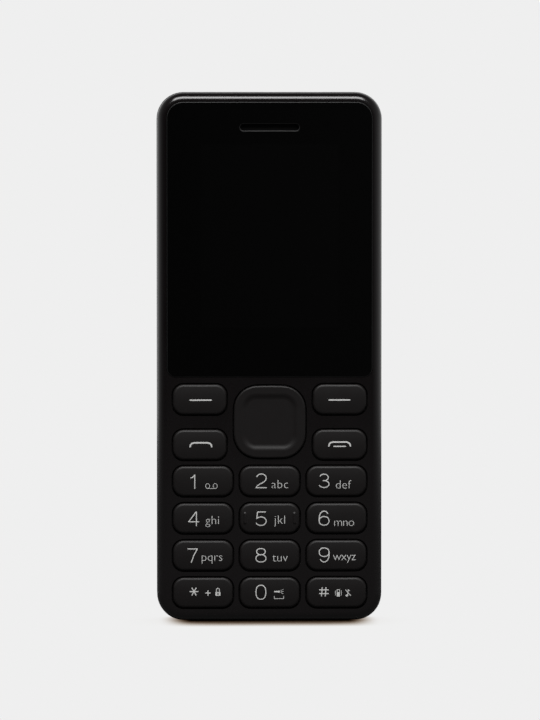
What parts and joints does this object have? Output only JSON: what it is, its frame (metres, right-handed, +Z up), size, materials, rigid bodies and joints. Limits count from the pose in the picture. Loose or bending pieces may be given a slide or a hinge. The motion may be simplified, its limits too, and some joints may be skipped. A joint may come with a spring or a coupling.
{
  "type": "feature phone",
  "caption": "Slim candybar feature phone with a black display window, a dished navigation key, softkeys and a number keypad, over a removable rear cover and battery.",
  "frame": {"origin": "under the middle of the phone's box, on the surface it stands on", "axes": "+Z up along the phone's height, -Y out of its face, +X to the right seen from the front"},
  "size_m": [0.0502, 0.0136, 0.118],
  "materials": {
    "abs": "fine moulded matt",
    "window": "polished",
    "chassis": "moulded",
    "key": "satin",
    "rubber": "moulded silicone",
    "mesh": "woven",
    "film": "film",
    "lcd_glass": "polished",
    "board": "solder mask",
    "steel": "stamped",
    "contact_gold": "gold plated",
    "moulding": "moulded",
    "lamp": "clear epoxy",
    "clear": "polished",
    "battery": "wrapped label"
  },
  "bodies": {
    "phone": {"front_housing": "abs", "display_window": "window", "window_tape": "film", "earpiece_mesh": "mesh", "earpiece": "moulding", "lcd_frame": "steel", "lcd_panel": "lcd_glass", "lcd_flex": "film", "keypad_mat": "rubber", "metal_domes": "steel", "dome_sheet": "film", "key_leds": "lamp", "main_board": "board", "sim_holders": "steel", "card_holder": "steel", "shield_cans": "steel", "battery_connector": "moulding", "battery_contacts": "contact_gold", "usb_socket": "steel", "usb_tongue": "moulding", "headset_jack": "moulding", "torch_led": "lamp", "torch_lens": "clear", "loudspeaker": "moulding", "speaker_mesh": "mesh", "camera_module": "moulding", "camera_window": "clear", "vibration_motor": "steel", "vibration_boot": "rubber", "microphone": "steel", "microphone_boot": "rubber", "antenna": "contact_gold", "rear_housing": "chassis", "housing_screws": "steel"},
    "key_1": {"key_1": "key"},
    "key_2": {"key_2": "key"},
    "key_3": {"key_3": "key"},
    "key_4": {"key_4": "key"},
    "key_5": {"key_5": "key"},
    "key_6": {"key_6": "key"},
    "key_7": {"key_7": "key"},
    "key_8": {"key_8": "key"},
    "key_9": {"key_9": "key"},
    "key_0": {"key_0": "key"},
    "key_star": {"key_star": "key"},
    "key_hash": {"key_hash": "key"},
    "soft_key_left": {"soft_key_left": "key"},
    "soft_key_right": {"soft_key_right": "key"},
    "call_key": {"call_key": "key"},
    "end_key": {"end_key": "key"},
    "nav_plunger": {"nav_plunger": "rubber"},
    "nav_pad": {"nav_pad": "rubber"},
    "nav_key": {"nav_key": "key"},
    "rear_cover": {"rear_cover": "abs"},
    "battery": {"battery": "battery", "battery_pads": "contact_gold"},
    "vibration_rotor": {"vibration_shaft": "steel", "vibration_weight": "steel"}
  },
  "joints": [
    {"name": "key_1_press", "type": "slide", "parent": "phone", "child": "key_1", "axis": [0, 1, 0], "range_m": [0, 0.00035], "stiffness_N_per_m": 1000},
    {"name": "key_2_press", "type": "slide", "parent": "phone", "child": "key_2", "axis": [0, 1, 0], "range_m": [0, 0.00035], "stiffness_N_per_m": 1000},
    {"name": "key_3_press", "type": "slide", "parent": "phone", "child": "key_3", "axis": [0, 1, 0], "range_m": [0, 0.00035], "stiffness_N_per_m": 1000},
    {"name": "key_4_press", "type": "slide", "parent": "phone", "child": "key_4", "axis": [0, 1, 0], "range_m": [0, 0.00035], "stiffness_N_per_m": 1000},
    {"name": "key_5_press", "type": "slide", "parent": "phone", "child": "key_5", "axis": [0, 1, 0], "range_m": [0, 0.00035], "stiffness_N_per_m": 1000},
    {"name": "key_6_press", "type": "slide", "parent": "phone", "child": "key_6", "axis": [0, 1, 0], "range_m": [0, 0.00035], "stiffness_N_per_m": 1000},
    {"name": "key_7_press", "type": "slide", "parent": "phone", "child": "key_7", "axis": [0, 1, 0], "range_m": [0, 0.00035], "stiffness_N_per_m": 1000},
    {"name": "key_8_press", "type": "slide", "parent": "phone", "child": "key_8", "axis": [0, 1, 0], "range_m": [0, 0.00035], "stiffness_N_per_m": 1000},
    {"name": "key_9_press", "type": "slide", "parent": "phone", "child": "key_9", "axis": [0, 1, 0], "range_m": [0, 0.00035], "stiffness_N_per_m": 1000},
    {"name": "key_0_press", "type": "slide", "parent": "phone", "child": "key_0", "axis": [0, 1, 0], "range_m": [0, 0.00035], "stiffness_N_per_m": 1000},
    {"name": "key_star_press", "type": "slide", "parent": "phone", "child": "key_star", "axis": [0, 1, 0], "range_m": [0, 0.00035], "stiffness_N_per_m": 1000},
    {"name": "key_hash_press", "type": "slide", "parent": "phone", "child": "key_hash", "axis": [0, 1, 0], "range_m": [0, 0.00035], "stiffness_N_per_m": 1000},
    {"name": "soft_key_left_press", "type": "slide", "parent": "phone", "child": "soft_key_left", "axis": [0, 1, 0], "range_m": [0, 0.00035], "stiffness_N_per_m": 1000},
    {"name": "soft_key_right_press", "type": "slide", "parent": "phone", "child": "soft_key_right", "axis": [0, 1, 0], "range_m": [0, 0.00035], "stiffness_N_per_m": 1000},
    {"name": "call_key_press", "type": "slide", "parent": "phone", "child": "call_key", "axis": [0, 1, 0], "range_m": [0, 0.00035], "stiffness_N_per_m": 1000},
    {"name": "end_key_press", "type": "slide", "parent": "phone", "child": "end_key", "axis": [0, 1, 0], "range_m": [0, 0.00035], "stiffness_N_per_m": 1000},
    {"name": "nav_press", "type": "slide", "parent": "phone", "child": "nav_plunger", "axis": [0, 1, 0], "range_m": [0, 0.00035], "stiffness_N_per_m": 1000},
    {"name": "nav_up_down", "type": "hinge", "parent": "nav_plunger", "child": "nav_pad", "pos_m": [0, -0.00445, 0.0446], "axis": [1, 0, 0], "range_deg": [-1.6, 1.6], "stiffness_Nm_per_rad": 0.1},
    {"name": "nav_left_right", "type": "hinge", "parent": "nav_pad", "child": "nav_key", "pos_m": [0, -0.00445, 0.0446], "axis": [0, 0, 1], "range_deg": [-1.6, 1.6], "stiffness_Nm_per_rad": 0.1},
    {"name": "rear_cover_off", "type": "slide", "parent": "phone", "child": "rear_cover", "axis": [0, 1, 0], "range_m": [0, 0.025]},
    {"name": "battery_out", "type": "slide", "parent": "phone", "child": "battery", "axis": [0, 1, 0], "range_m": [0, 0.01]},
    {"name": "vibration_spin", "type": "hinge", "parent": "phone", "child": "vibration_rotor", "pos_m": [0.01, 0.0006, 0.095], "axis": [1, 0, 0], "continuous": true}
  ],
  "couplings": [
    {"joint": "battery_out", "follows": "rear_cover_off", "ratio": 0.4}
  ]
}
